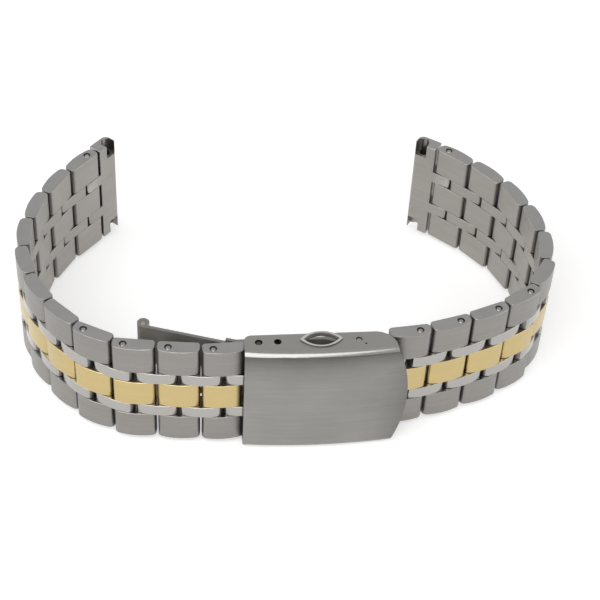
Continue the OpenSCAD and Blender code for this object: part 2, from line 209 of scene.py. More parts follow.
def satin_group():
    """Even, fine tooth of a blasted or tumbled surface."""
    group, source, target = new_group("satin_tooth", {"Tooth size": 0.0001}, ["Tooth"])
    scaled = group.nodes.new("ShaderNodeVectorMath")
    scaled.operation = "DIVIDE"
    group.links.new(source.outputs["Coordinate"], scaled.inputs[0])
    group.links.new(source.outputs["Tooth size"], scaled.inputs[1])
    noise = noise_node(group, scaled.outputs[0], 2, 0.5)
    group.links.new(spread_node(group, noise, 0.3, 0.7), target.inputs["Tooth"])
    return group


def handling_group():
    """Soft blotches where the metal was touched and wiped."""
    group, source, target = new_group("handling_marks", {"Mark size": 0.006}, ["Haze"])
    scaled = group.nodes.new("ShaderNodeVectorMath")
    scaled.operation = "DIVIDE"
    group.links.new(source.outputs["Coordinate"], scaled.inputs[0])
    group.links.new(source.outputs["Mark size"], scaled.inputs[1])
    noise = noise_node(group, scaled.outputs[0], 4, 0.55)
    group.links.new(spread_node(group, noise, 0.32, 0.68), target.inputs["Haze"])
    return group


def worn_edge_highlight_group():
    """Eased edges, worn smoother in patches and lightened there as a painted highlight. The mesh
    marks them with "edge".
    """
    group, source, target = new_group(
        "edge_wear_and_painted_highlight", {"Patch size": 0.0012}, ["Rubbed"]
    )
    marked = group.nodes.new("ShaderNodeAttribute")
    marked.attribute_name = "edge"
    scaled = group.nodes.new("ShaderNodeVectorMath")
    scaled.operation = "DIVIDE"
    group.links.new(source.outputs["Coordinate"], scaled.inputs[0])
    group.links.new(source.outputs["Patch size"], scaled.inputs[1])
    noise = noise_node(group, scaled.outputs[0], 2, 0.5)
    patches = spread_node(group, noise, 0.25, 0.5)
    wear_and_highlight = math_node(group, "MULTIPLY", marked.outputs["Fac"], patches, clamp=True)
    group.links.new(wear_and_highlight, target.inputs["Rubbed"])
    return group


def painted_margin_shade_group():
    """Painted shade on the margins of a sheet next to its bend at the top and its tip at +X.
    Strongest at each margin."""
    group, source, target = new_group(
        "painted_margin_shade",
        {
            "Top": 0.022, "Top reach": 0.008,
            "Tip": 0.018, "Tip reach": 0.009, "Tip share": 0.6,
        },
        ["Dull"],
    )
    split = group.nodes.new("ShaderNodeSeparateXYZ")
    group.links.new(source.outputs["Coordinate"], split.inputs[0])
    margins = []
    for axis, end, reach in ((2, "Top", "Top reach"), (0, "Tip", "Tip reach")):
        depth = math_node(group, "SUBTRACT", source.outputs[end], split.outputs[axis])
        share = math_node(group, "DIVIDE", depth, source.outputs[reach])
        near = math_node(group, "SUBTRACT", 1, share, clamp=True)
        margins.append(math_node(group, "MULTIPLY", near, near))
    tip = math_node(group, "MULTIPLY", margins[1], source.outputs["Tip share"])
    group.links.new(math_node(group, "MAXIMUM", margins[0], tip), target.inputs["Dull"])
    return group


BELT_BRUSHING = brush_group()
SATIN_TOOTH = satin_group()
HANDLING_MARKS = handling_group()
EDGE_WEAR_AND_HIGHLIGHT = worn_edge_highlight_group()
PAINTED_MARGIN_SHADE = painted_margin_shade_group()


# Metal finishes

def placed(tree, group, coordinate, **values):
    """Node that holds a shader group in a material, with its own values."""
    node = tree.nodes.new("ShaderNodeGroup")
    node.node_tree = group
    tree.links.new(coordinate, node.inputs["Coordinate"])
    for name, value in values.items():
        node.inputs[name.replace("_", " ").capitalize()].default_value = value
    return node


def mixed_colour(tree, factor, first, second):
    """Colour between two, each a colour or a socket, by a number or a socket."""
    node = tree.nodes.new("ShaderNodeMix")
    node.data_type = "RGBA"
    if isinstance(factor, float):
        node.inputs["Factor"].default_value = factor
    else:
        tree.links.new(factor, node.inputs["Factor"])
    for name, value in (("A", first), ("B", second)):
        socket = [s for s in node.inputs if s.name == name and s.type == "RGBA"][0]
        if isinstance(value, tuple):
            socket.default_value = (*value, 1)
        else:
            tree.links.new(value, socket)
    return [s for s in node.outputs if s.type == "RGBA"][0]


def shade(colour, factor):
    """The same colour, lighter or darker."""
    return tuple(channel * factor for channel in colour)


BROAD_SHARE = 0.5
BLACK = (0, 0, 0)
# How much lighter the worn edges are painted: a painted highlight.
PAINTED_EDGE_HIGHLIGHT = 1.25
RUBBED_SMOOTHNESS = 0.5


def metal(
    name, colour, roughness, brushed=0.0, tooth=0.0, line_width=0.0002,
    line_length=0.012, contrast=0.1, haze=0.05, mark_size=0.006, anisotropy=0.0,
    clouding=0.0, margin=0.0,
):
    """Metal with a belt-brushed or satin surface, handling marks, and edges worn smoother and
    lightened as a painted highlight.

    brushed and tooth are the depths of their relief, contrast and haze are how
    far they change the tone and the roughness, and clouding and margin are how
    far the handling marks and the painted shade on the margins next to a bend darken it."""
    material = bpy.data.materials.new(name)
    material.use_nodes = True
    tree = material.node_tree
    tree.nodes.clear()
    output = tree.nodes.new("ShaderNodeOutputMaterial")
    shader = tree.nodes.new("ShaderNodeBsdfPrincipled")
    tree.links.new(shader.outputs[0], output.inputs["Surface"])
    shader.inputs["Metallic"].default_value = 1
    coordinate = tree.nodes.new("ShaderNodeTexCoord").outputs["Object"]
    haze_mask = placed(
        tree, HANDLING_MARKS, coordinate, mark_size=mark_size
    ).outputs["Haze"]
    wear_and_highlight = placed(tree, EDGE_WEAR_AND_HIGHLIGHT, coordinate).outputs["Rubbed"]
    if brushed:
        brush = placed(
            tree, BELT_BRUSHING, coordinate, line_width=line_width,
            line_length=line_length,
        )
        grain, broad = brush.outputs["Lines"], brush.outputs["Bands"]
    else:
        satin = placed(tree, SATIN_TOOTH, coordinate, tooth_size=line_width / 2)
        grain, broad = satin.outputs["Tooth"], haze_mask

    def toned(mask, change):
        """The colour, darker and lighter by a share as the mask says."""
        darker, lighter = shade(colour, 1 - change), shade(colour, 1 + change)
        return mixed_colour(tree, mask, darker, lighter)

    surface = mixed_colour(
        tree, BROAD_SHARE, toned(grain, contrast), toned(broad, contrast / 2)
    )
    # Painted shade: the margins next to the bend and the tip are darkened, together with the
    # clouding of the handling marks.
    if clouding or margin:
        shade_margins = placed(tree, PAINTED_MARGIN_SHADE, coordinate)
        margin_shade = math_node(tree, "MULTIPLY", shade_margins.outputs["Dull"], margin)
        clouds = math_node(tree, "MULTIPLY", haze_mask, clouding)
        clouds_and_margin_shade = math_node(tree, "ADD", clouds, margin_shade, clamp=True)
        surface = mixed_colour(tree, clouds_and_margin_shade, surface, BLACK)
    # Painted highlight: the worn edges are painted lighter than the rest of the metal.
    surface = mixed_colour(tree, wear_and_highlight, surface, shade(colour, PAINTED_EDGE_HIGHLIGHT))
    tree.links.new(surface, shader.inputs["Base Color"])

    rough = math_node(tree, "MULTIPLY", haze_mask, haze)
    rough = math_node(tree, "ADD", rough, roughness)
    smoothed = math_node(tree, "MULTIPLY", wear_and_highlight, roughness * RUBBED_SMOOTHNESS)
    rough = math_node(tree, "SUBTRACT", rough, smoothed, clamp=True)
    tree.links.new(rough, shader.inputs["Roughness"])

    bump = tree.nodes.new("ShaderNodeBump")
    bump.inputs["Distance"].default_value = (brushed or tooth) * MM
    tree.links.new(grain, bump.inputs["Height"])
    tree.links.new(bump.outputs["Normal"], shader.inputs["Normal"])
    if anisotropy:
        shader.inputs["Anisotropic"].default_value = anisotropy
        tangent = tree.nodes.new("ShaderNodeTangent")
        tangent.direction_type = "RADIAL"
        tangent.axis = "Z"
        tree.links.new(tangent.outputs[0], shader.inputs["Tangent"])
    return material


STEEL = (0.272, 0.260, 0.246)
# Polished steel is painted lighter than the brushed steel, as a painted sheen.
BRIGHT_STEEL = (0.33, 0.32, 0.305)
EDGE_STEEL = (0.34, 0.335, 0.325)
INSIDE_STEEL = (0.335, 0.318, 0.295)
SHEET_STEEL = (0.25, 0.242, 0.230)
RIM_HIGHLIGHT_STEEL = (0.6, 0.59, 0.57)
GOLD_PLATE = (0.54, 0.425, 0.205)

BRUSHED_STEEL = metal("brushed_link_steel", STEEL, 0.3, brushed=0.02, anisotropy=0.5)
# The narrow links are painted a fifth lighter still, as painted sheen.
POLISHED_STEEL = metal(
    "polished_link_steel", shade(BRIGHT_STEEL, 1.2), 0.13, tooth=0.002, contrast=0.04,
    haze=0.06,
)
EDGE_METAL = metal(
    "band_edge_steel", EDGE_STEEL, 0.26, brushed=0.008, line_width=0.0003,
    line_length=0.003, contrast=0.08,
)
INSIDE_METAL = metal(
    "wrist_side_steel", INSIDE_STEEL, 0.36, brushed=0.012, line_length=0.006, haze=0.08
)
GOLD_METAL = metal(
    "pale_gold_plate", GOLD_PLATE, 0.2, brushed=0.005, line_width=0.00015,
    line_length=0.006, contrast=0.05, haze=0.08,
)
# The front's margins next to its bend and its tip carry painted shade.
COVER_FACE = metal(
    "brushed_cover_face", shade(SHEET_STEEL, 1.14), 0.3, brushed=0.015,
    line_width=0.00014, line_length=0.008, mark_size=0.014, clouding=0.12, margin=0.6,
)
COVER_SIDE = metal(
    "satin_cover_side", shade(SHEET_STEEL, 1.25), 0.3, tooth=0.006, contrast=0.06,
    haze=0.08,
)
COVER_BEND = metal(
    "polished_cover_bend", BRIGHT_STEEL, 0.16, brushed=0.006, contrast=0.06
)
# Painted highlight: the tops of the openings' rims are painted much lighter than the rest of the
# sheet.
COVER_RIM = metal("opening_rim_painted_highlight", RIM_HIGHLIGHT_STEEL, 0.16, tooth=0.002, contrast=0.05)
# Painted shade: the cover's inner faces away from the openings are darkened sheet.
PAINTED_SHADE_SHEET = metal("cover_inner_painted_shade", shade(SHEET_STEEL, 0.5), 0.3, brushed=0.01)
# Painted light: the cover's inside next to the finger openings is lightened sheet, so that it
# looks lit through them.
COVER_INSIDE_LIGHT = metal(
    "cover_inside_painted_light", shade(SHEET_STEEL, 2.4), 0.5, tooth=0.006, contrast=0.06
)
# Sheet lightened 2.2 times: the stamped steel's own tone, and painted light against the shade in
# which the blade lies.
BLADE_METAL = metal(
    "satin_blade_sheet", shade(SHEET_STEEL, 2.2), 0.5, brushed=0.01, line_length=0.008
)
CUT_EDGE = metal("cut_blade_edge", SHEET_STEEL, 0.3, tooth=0.006)
# Painted shade: link ends and wrist corners, which lie in the gaps between links, get this
# darkened steel.
GAP_SHADE_METAL = metal(
    "link_end_painted_shade_steel", shade(STEEL, 0.75), 0.4, tooth=0.006, contrast=0.15, haze=0.1
)
PIN_METAL = metal("ground_pin_steel", BRIGHT_STEEL, 0.18, tooth=0.003, contrast=0.05)
# Painted shade: the spring bar is darkened so that its tip in the cover's hole reads dark.
BAR_METAL = metal("spring_bar_painted_shade_steel", shade(STEEL, 0.3), 0.45, tooth=0.006, contrast=0.2)
HOLE_METAL = metal("drilled_hole_steel", EDGE_STEEL, 0.35, tooth=0.01, contrast=0.15)


# Outlines: lists of (x, y, outward normal x, outward normal y)

CROWN_STEPS = 10
FACE_CORNER_STEPS = 10
WRIST_CORNER_STEPS = 8
END_CORNER_STEPS = 6
END_EASE_STEPS = 3
TINY = 1e-6


def arc(centre, radius, start, end, steps):
    """Points of an arc, with angles in radians, and their outward normals."""
    points = []
    for step in range(steps + 1):
        angle = start + (end - start) * step / steps
        normal = (cos(angle), sin(angle))
        points.append((
            centre[0] + radius * normal[0], centre[1] + radius * normal[1], *normal
        ))
    return points


def link_outline(x0):
    """A link seen along its pins: flat to the wrist at +y and crowned outside,
    with a round corner from the crown into each end."""
    middle = LINK_LENGTH / 2
    crown = (0, CROWN_RADIUS - HALF_THICKNESS)
    face_x = middle - FACE_CORNER
    face_y = crown[1] - sqrt((CROWN_RADIUS - FACE_CORNER) ** 2 - face_x ** 2)
    crown_end = atan2(face_y - crown[1], face_x)
    face_corner = (face_x, face_y)
    wrist_corner = (middle - WRIST_CORNER, HALF_THICKNESS - WRIST_CORNER)
    right = (
        arc(crown, CROWN_RADIUS, -pi / 2, crown_end, CROWN_STEPS)
        + arc(face_corner, FACE_CORNER, crown_end, 0, FACE_CORNER_STEPS)[1:]
        + arc(wrist_corner, WRIST_CORNER, 0, pi / 2, WRIST_CORNER_STEPS)
    )
    left = [(-x, y, -nx, ny) for x, y, nx, ny in reversed(right) if x > TINY]
    return [(x0 + middle + x, y, nx, ny) for x, y, nx, ny in right + left]


def end_outline():
    """An end piece's body: square to the strap, rounded at its free end."""
    low_corner = (COLUMN_X + END_EASE, END_EASE - HALF_THICKNESS)
    high_corner = (COLUMN_X + END_EASE, HALF_THICKNESS - END_EASE)
    round_middle = (END_REACH - END_ROUND, END_ROUND - HALF_THICKNESS)
    wrist_corner = (END_REACH - WRIST_CORNER, HALF_THICKNESS - WRIST_CORNER)
    return (
        arc(low_corner, END_EASE, -pi, -pi / 2, END_EASE_STEPS)
        + arc(round_middle, END_ROUND, -pi / 2, 0, CROWN_STEPS)
        + arc(wrist_corner, WRIST_CORNER, 0, pi / 2, END_CORNER_STEPS)
        + arc(high_corner, END_EASE, pi / 2, pi, END_EASE_STEPS)
    )


def finger_outline():
    """The part of a narrow link that reaches from the hinge into the body."""
    reach = COLUMN_X + FINGER_OVERLAP
    link = link_outline(NARROW_X)
    middle = NARROW_X + LINK_LENGTH / 2
    far_half = [point for point in link[1:] if point[0] <= middle]
    inside = HALF_THICKNESS - CROWN_SINK
    return [(reach, -inside, 1, -1), (reach, inside, 1, 1), *far_half]


# Mesh work

def ring(mesh, points, z, inset=0.0):
    """Closed ring of vertices through an outline's points, drawn in by inset."""
    return [
        mesh.verts.new(((x - inset * nx) * MM, (y - inset * ny) * MM, z * MM))
        for x, y, nx, ny in points
    ]


def ring_edges(mesh, loop):
    """Edges of a ring, made where they aren't there yet."""
    edges = []
    for first, second in zip(loop, loop[1:] + loop[:1]):
        edge = mesh.edges.get((first, second))
        edges.append(edge if edge else mesh.edges.new((first, second)))
    return edges


def join_rings(mesh, lower, upper, material=0):
    """Faces between two rings with as many points."""
    faces = []
    count = len(lower)
    for index in range(count):
        following = (index + 1) % count
        face = mesh.faces.new(
            (lower[index], lower[following], upper[following], upper[index])
        )
        face.material_index = material
        faces.append(face)
    return faces


def bore(mesh, x, y, steps, profile, material):
    """Round hole with the given (radius, height) steps. Gives the rings at its
    two ends; a last radius of zero closes it there."""
    rings = []
    for radius, z in profile:
        if radius == 0:
            rings.append(mesh.verts.new((x * MM, y * MM, z * MM)))
        else:
            rings.append(ring(mesh, arc((x, y), radius, 0, 2 * pi, steps)[:-1], z))
    for lower, upper in zip(rings, rings[1:]):
        if isinstance(upper, list) and isinstance(lower, list):
            join_rings(mesh, lower, upper, material)
            continue
        tip, base = (upper, lower) if isinstance(lower, list) else (lower, upper)
        for first, second in zip(base, base[1:] + base[:1]):
            mesh.faces.new((first, second, tip)).material_index = material
    return rings[0], rings[-1]


def cap(mesh, outline_ring, hole_rings, material):
    """Flat face inside a ring, open at the hole rings."""
    edges = ring_edges(mesh, outline_ring)
    for hole in hole_rings:
        edges += ring_edges(mesh, hole)
    filled = bmesh.ops.triangle_fill(mesh, use_beauty=True, edges=edges)
    for item in filled["geom"]:
        if isinstance(item, bmesh.types.BMFace):
            item.material_index = material


EASE_STEPS = 3


def prism(
    mesh, outline, z0, z1, ease, bores, side_material, cap_material, hole_material
):
    """Solid with an outline seen along z, eased at both ends, and round holes.

    bores are (x, y, profile), and side_material says a side face's material
    from its outward normal."""
    edge_mark = mesh.verts.layers.float["edge"]
    turns = [pi / 2 * step / EASE_STEPS for step in range(EASE_STEPS + 1)]
    rises = [(ease * (1 - sin(turn)), ease * (1 - cos(turn))) for turn in turns]
    levels = [(inset, z0 + rise) for inset, rise in rises]
    levels += [(inset, z1 - rise) for inset, rise in reversed(rises)]
    rings = [ring(mesh, outline, z, inset) for inset, z in levels]
    for number, loop in enumerate(rings):
        on_edge = 0 < number < EASE_STEPS or EASE_STEPS + 1 < number < len(rings) - 1
        for vertex in loop:
            vertex[edge_mark] = 1.0 if on_edge else 0.0
    normals = [
        (outline[i][2] + outline[(i + 1) % len(outline)][2],
         outline[i][3] + outline[(i + 1) % len(outline)][3])
        for i in range(len(outline))
    ]
    for lower, upper in zip(rings, rings[1:]):
        for face, (nx, ny) in zip(join_rings(mesh, lower, upper), normals):
            size = hypot(nx, ny)
            face.material_index = side_material(nx / size, ny / size)
    low_holes = []
    high_holes = []
    for x, y, profile in bores:
        low, high = bore(mesh, x, y, HOLE_STEPS, profile, hole_material)
        if isinstance(low, list) and abs(profile[0][1] - z0) < TINY:
            low_holes.append(low)
        if isinstance(high, list) and abs(profile[-1][1] - z1) < TINY:
            high_holes.append(high)
    cap(mesh, rings[0], low_holes, cap_material)
    cap(mesh, rings[-1], high_holes, cap_material)


def turned(mesh, x, y, profile, steps, material):
    """Solid of revolution along z, from (radius, height) steps that begin and
    end with radius zero."""
    bore(mesh, x, y, steps, profile, material)


def pin_profile(radius, z0, z1):
    """A pin with a small chamfer at both ends."""
    return [
        (0, z0), (radius - PIN_EASE, z0), (radius, z0 + PIN_EASE),
        (radius, z1 - PIN_EASE), (radius - PIN_EASE, z1), (0, z1),
    ]


def new_mesh():
    mesh = bmesh.new()
    mesh.verts.layers.float.new("edge")
    return mesh


def piece_from(mesh, name, materials, place=None):
    """Object made from a bmesh, smooth between its real edges."""
    bmesh.ops.recalc_face_normals(mesh, faces=mesh.faces)
    data = bpy.data.meshes.new(name)
    mesh.to_mesh(data)
    mesh.free()
    piece = bpy.data.objects.new(name, data)
    bpy.context.scene.collection.objects.link(piece)
    for material in materials:
        data.materials.append(material)
    smooth(piece)
    if place is not None:
        piece.matrix_world = place
    return piece


def smooth(piece):
    """Smooth shading that keeps sharp edges, weighted so that flats stay flat."""
    piece.data.shade_smooth()
    piece.data.set_sharp_from_angle(angle=SHARP_ANGLE)
    weighted = piece.modifiers.new("flats_stay_flat", "WEIGHTED_NORMAL")
    weighted.keep_sharp = True


def dress(piece, body, node):
    """The piece rides on a body and stands for a CAD node, which it hides."""
    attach(piece, body)
    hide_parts(node)


# Straps

def hinge_point(name):
    point = Vector(JOINTS[name]["pos_m"])
    point.z = BAND_MIDDLE * MM
    return point


def strap_frame(side, start, along, offset):
    """Matrix from a unit's own frame, with x along the strap and y to the wrist,
    to its place. offset is how far along the straightened strap it begins."""
    x_axis = Vector((along.x, along.y, 0)).normalized()
    turn = -1 if side == "left" else 1
    y_axis = Vector((-turn * x_axis.y, turn * x_axis.x, 0))
    z_axis = x_axis.cross(y_axis)
    matrix = Matrix((x_axis, y_axis, z_axis)).transposed().to_4x4()
    matrix.translation = start
    return matrix @ Matrix.Translation((-offset * MM, 0, 0))


OUTSIDE, ENDS, WRIST, BAND_EDGE, HOLE, PIN, POLISHED = range(7)
FACE_LIMIT = 0.6
# Wrist corners turned less than this count as ends, which carry the painted shade of the gaps.
WRIST_LIMIT = 0.85
PLATED_LIMIT = -0.15


def link_side(nx, ny):
    """Which finish a link's side has, from its outward normal."""
    if ny > WRIST_LIMIT:
        return WRIST
    return OUTSIDE if ny < -FACE_LIMIT else ENDS


def plated_side(nx, ny):
    """The same for a centre link, which is plated outside only."""
    if ny < PLATED_LIMIT:
        return OUTSIDE
    return WRIST if ny > WRIST_LIMIT else ENDS


def settle_unit(mesh, side, offset):
    """Moves a unit's mesh from heights over the band's lower edge to its frame."""
    up = -1 if side == "left" else 1
    for vertex in mesh.verts:
        vertex.co.x += offset * MM
        vertex.co.z = up * (vertex.co.z - BAND_WIDTH / 2 * MM)


def steel_links(side, number, is_first, removable, place, offset):
    """Two outer links, the two narrow links that join them to the unit before,
    and the two pins that they hold."""
    mesh = new_mesh()
    seat = PIN_RADIUS + PIN_SEAT
    high_outer = BAND_WIDTH - OUTER_ROW
    blind = BAND_WIDTH - PIN_COVER
    low_hidden = [(seat, 0), (seat, OUTER_ROW)]
    high_hidden = [(seat, high_outer), (seat, blind), (0, blind)]
    low_open = [
        (RING_RADIUS, 0), (RING_RADIUS, RING_DEPTH),
        (seat, RING_DEPTH), (seat, OUTER_ROW),
    ]
    high_open = [
        (seat, high_outer), (seat, BAND_WIDTH - RING_DEPTH),
        (RING_RADIUS, BAND_WIDTH - RING_DEPTH), (RING_RADIUS, BAND_WIDTH),
    ]
    hinge_holes = (low_open, high_open) if removable else (low_hidden, high_hidden)
    rows = ((0, low_hidden, hinge_holes[0]), (high_outer, high_hidden, hinge_holes[1]))
    for z0, fixed_hole, hinge_hole in rows:
        prism(
            mesh, link_outline(COLUMN_X), z0, z0 + OUTER_ROW, LINK_EASE,
            [(FIXED_PIN_X, 0, fixed_hole), (PITCH, 0, hinge_hole)],
            link_side, BAND_EDGE, HOLE,
        )
    steel_faces = len(mesh.faces)
    on_spring_bar = is_first and side == "left"
    turning = (BAR_RADIUS if on_spring_bar else PIN_RADIUS) + PIN_PLAY
    for z0 in (NARROW_LOW, BAND_WIDTH - NARROW_LOW - NARROW_ROW):
        z1 = z0 + NARROW_ROW
        fixed_hole = (FIXED_PIN_X, 0, [(seat, z0), (seat, z1)])
        turning_hole = (0, 0, [(turning, z0), (turning, z1)])
        prism(
            mesh, link_outline(NARROW_X), z0, z1, LINK_EASE,
            [fixed_hole, turning_hole], link_side, BAND_EDGE, HOLE,
        )
    mesh.faces.ensure_lookup_table()
    for face in mesh.faces[steel_faces:]:
        if face.material_index in (OUTSIDE, BAND_EDGE):
            face.material_index = POLISHED
    hidden = pin_profile(PIN_RADIUS, 0, BAND_WIDTH - PIN_COVER - PIN_PLAY)
    turned(mesh, FIXED_PIN_X, 0, hidden, HOLE_STEPS, PIN)
    if removable:
        open_pin = pin_profile(PIN_RADIUS, PIN_SINK, BAND_WIDTH - PIN_SINK)
        turned(mesh, PITCH, 0, open_pin, HOLE_STEPS, PIN)
    else:
        turned(mesh, PITCH, 0, hidden, HOLE_STEPS, PIN)
    settle_unit(mesh, side, offset)
    return piece_from(
        mesh, f"{side}_{number:02d}_steel_links",
        [
            BRUSHED_STEEL, GAP_SHADE_METAL, INSIDE_METAL, EDGE_METAL,
            HOLE_METAL, PIN_METAL, POLISHED_STEEL,
        ],
        place,
    )


def gold_link(side, number, place, offset):
    """The centre link, plated outside, steel to the wrist, and steel darkened as painted shade
    at its ends and band edges.
    """
    mesh = new_mesh()
    seat = PIN_RADIUS + PIN_SEAT
    z0, z1 = CENTRE_LOW, BAND_WIDTH - CENTRE_LOW
    prism(
        mesh, link_outline(COLUMN_X), z0, z1, LINK_EASE,
        [(x, 0, [(seat, z0), (seat, z1)]) for x in (FIXED_PIN_X, PITCH)],
        plated_side, BAND_EDGE, HOLE,
    )
    settle_unit(mesh, side, offset)
    return piece_from(
        mesh, f"{side}_{number:02d}_gold_link",
        [GOLD_METAL, GAP_SHADE_METAL, INSIDE_METAL, GAP_SHADE_METAL, HOLE_METAL], place,
    )


def combine(piece, other, operation):
    """Cuts one piece by another, or joins them, and drops the second."""
    step = piece.modifiers.new("cut", "BOOLEAN")
    step.operation = operation
    step.solver = "EXACT"
    step.object = other
    graph = bpy.context.evaluated_depsgraph_get()
    carved = bpy.data.meshes.new_from_object(piece.evaluated_get(graph))
    piece.modifiers.clear()
    piece.data = carved
    bpy.data.objects.remove(other)


def block(name, low, high):
    """Plain cutting block between two corners."""
    mesh = bmesh.new()
    bmesh.ops.create_cube(mesh, size=1)
    middle = (Vector(low) + Vector(high)) / 2 * MM
    size = (Vector(high) - Vector(low)) * MM
    for vertex in mesh.verts:
        vertex.co = Vector(c * s for c, s in zip(vertex.co, size)) + middle
    data = bpy.data.meshes.new(name)
    mesh.to_mesh(data)
    mesh.free()
    cutter = bpy.data.objects.new(name, data)
    bpy.context.scene.collection.objects.link(cutter)
    return cutter


def end_piece(side, place, offset):
    """Square end with the watch's spring bar hole, two fingers that reach to the
    last hinge, and a tool slot at each edge that uncovers the spring bar."""
    finishes = [BRUSHED_STEEL, EDGE_METAL, INSIDE_METAL, EDGE_METAL, HOLE_METAL]
    mesh = new_mesh()
    prism(
        mesh, end_outline(), 0, BAND_WIDTH, LINK_EASE,
        [(LUG_BORE_X, 0, [(LUG_BORE_RADIUS, 0), (LUG_BORE_RADIUS, BAND_WIDTH)])],
        link_side, BAND_EDGE, HOLE,
    )
    name = f"{side}_end_block"
    piece = piece_from(mesh, name, finishes)
    piece.modifiers.clear()
    turning = PIN_RADIUS + PIN_PLAY
    for z0 in (NARROW_LOW, BAND_WIDTH - NARROW_LOW - NARROW_ROW):
        z1 = z0 + NARROW_ROW
        finger = new_mesh()
        prism(
            finger, finger_outline(), z0, z1, LINK_EASE,
            [(0, 0, [(turning, z0), (turning, z1)])], link_side, BAND_EDGE, HOLE,
        )
        finger = piece_from(finger, "finger", finishes)
        finger.modifiers.clear()
        combine(piece, finger, "UNION")
    for low, high in (
        (-CUT_PAST, TOOL_SLOT_HEIGHT),
        (BAND_WIDTH - TOOL_SLOT_HEIGHT, BAND_WIDTH + CUT_PAST),
    ):
        slot = block(
            "tool_slot",
            (LUG_BORE_X - TOOL_SLOT_LENGTH / 2, -TOOL_SLOT_PAST, low),
            (LUG_BORE_X + TOOL_SLOT_LENGTH / 2, LINK_THICKNESS, high),
        )
        combine(piece, slot, "DIFFERENCE")
    mesh = bmesh.new()
    mesh.from_mesh(piece.data)
    bpy.data.objects.remove(piece)
    settle_unit(mesh, side, offset)
    return piece_from(mesh, name, finishes, place)


RIGHT_STRAP_SHIFT = 200


def strap(side, count):
    """One strap from the clasp out: its units and its end piece. The shift gives
    the right strap other marks and brush lines than the left one."""
    for index in range(count):
        number = count - index
        start = hinge_point(f"{side}_hinge_{number + 1:02d}")
        end = hinge_point(f"{side}_hinge_{number:02d}")
        offset = index * PITCH + (RIGHT_STRAP_SHIFT if side == "right" else 0)
        place = strap_frame(side, start, end - start, offset)
        removable = index < REMOVABLE_NEXT_TO_CLASP or number == 1
        body = f"{side}_{number:02d}"
        links = steel_links(side, number, index == 0, removable, place, offset)
        dress(links, body, f"{body}_steel")
        centre = gold_link(side, number, place, offset)
        dress(centre, body, f"{body}_gold")
    turn = END_TURN[side] * (-1 if side == "left" else 1)
    along = Matrix.Rotation(radians(turn), 3, "Z") @ (end - start)
    offset += PITCH
    free_end = end_piece(side, strap_frame(side, end, along, offset), offset)
    dress(free_end, f"{side}_end_piece", f"{side}_end_piece")


strap("left", LEFT_UNITS)
strap("right", RIGHT_UNITS)


# Clasp

def eased_copy(node, ease):
    """The CAD node's shape, with flat faces made whole and sharp edges eased.
    Gives a bmesh that marks the middle of each eased edge."""
    mesh = bmesh.new()
    mesh.from_mesh(frame["nodes"][node].data)
    bmesh.ops.remove_doubles(mesh, verts=mesh.verts, dist=SAME_POINT * MM)
    bmesh.ops.dissolve_limit(
        mesh, angle_limit=FLAT_ANGLE, verts=mesh.verts, edges=mesh.edges
    )
    edge_mark = mesh.verts.layers.float.new("edge")
    sharp = [
        edge for edge in mesh.edges
        if len(edge.link_faces) == 2 and edge.calc_face_angle(0) > SHARP_ANGLE
    ]
    made = bmesh.ops.bevel(
        mesh, geom=sharp, offset=ease * MM, offset_type="OFFSET",
        segments=SHEET_EASE_STEPS, profile=0.5, affect="EDGES", clamp_overlap=True,
    )
    strips = set(made["faces"])
    for vertex in made["verts"]:
        if all(face in strips for face in vertex.link_faces):
            vertex[edge_mark] = 1.0
    return mesh


# How far the cover's faces lie under its outside, and which way they turn
FRONT, BEND, SIDE, INNER, OPENING, RIM = range(6)
FRONT_DEPTH = 1.5
RIM_DEPTH = 0.15
SIDE_DEPTH = 0.45
OPENING_REACH = 3.3
FLAT = 0.98
BOW_LIMIT = 0.72
BEND_START = 0.5
BEND_LIMIT = 0.1


def clasp_cover():
    """Bent sheet: brushed front with painted shade at its top and tip margins, polished bends,
    satin sides with a raised rim round each finger opening, its top lightened as a painted
    highlight. Inside, painted light next to the openings and painted shade elsewhere."""
    mesh = eased_copy("clasp_cover", COVER_EASE)
    low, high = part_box("clasp_cover")
    front = low.y + FRONT_DEPTH * MM

    def depth(face):
        """How far a face lies under the rims' tops, in millimetres."""
        to_top = high.z - face.calc_center_median().z
        return min(to_top, high.z - low.z - to_top) / MM

    def at_side(face):
        return abs(face.normal.z) > FLAT

    rim_tops = [
        face.calc_center_median().x for face in mesh.faces
        if at_side(face) and depth(face) < RIM_DEPTH
    ]
    opening = sum(rim_tops) / len(rim_tops)
    for face in mesh.faces:
        normal = face.normal
        middle = face.calc_center_median()
        on_front = middle.y < front
        by_opening = abs(middle.x - opening) < OPENING_REACH * MM
        if on_front and normal.y < -BOW_LIMIT and abs(normal.z) < BEND_START:
            face.material_index = FRONT
        elif at_side(face) and depth(face) < RIM_DEPTH:
            face.material_index = RIM
        elif at_side(face):
            face.material_index = SIDE if depth(face) < SIDE_DEPTH else OPENING
        elif on_front and normal.y < -BEND_LIMIT:
            face.material_index = BEND
        # Inside faces near an opening get the painted light, the rest the painted shade.
        elif by_opening and depth(face) > RIM_DEPTH:
            face.material_index = OPENING
        else:
            face.material_index = INNER
    piece = piece_from(
        mesh, "clasp_cover_sheet",
        [COVER_FACE, COVER_BEND, COVER_SIDE, PAINTED_SHADE_SHEET, COVER_INSIDE_LIGHT, COVER_RIM],
    )
    dress(piece, "clasp", "clasp_cover")


def blade(node, name, body):
    """A stamped blade with its hinge curls, darker on its cut edges."""
    mesh = eased_copy(node, BLADE_EASE)
    for face in mesh.faces:
        face.material_index = 1 if abs(face.normal.z) > FLAT else 0
    piece = piece_from(mesh, name, [BLADE_METAL, CUT_EDGE])
    dress(piece, body, node)


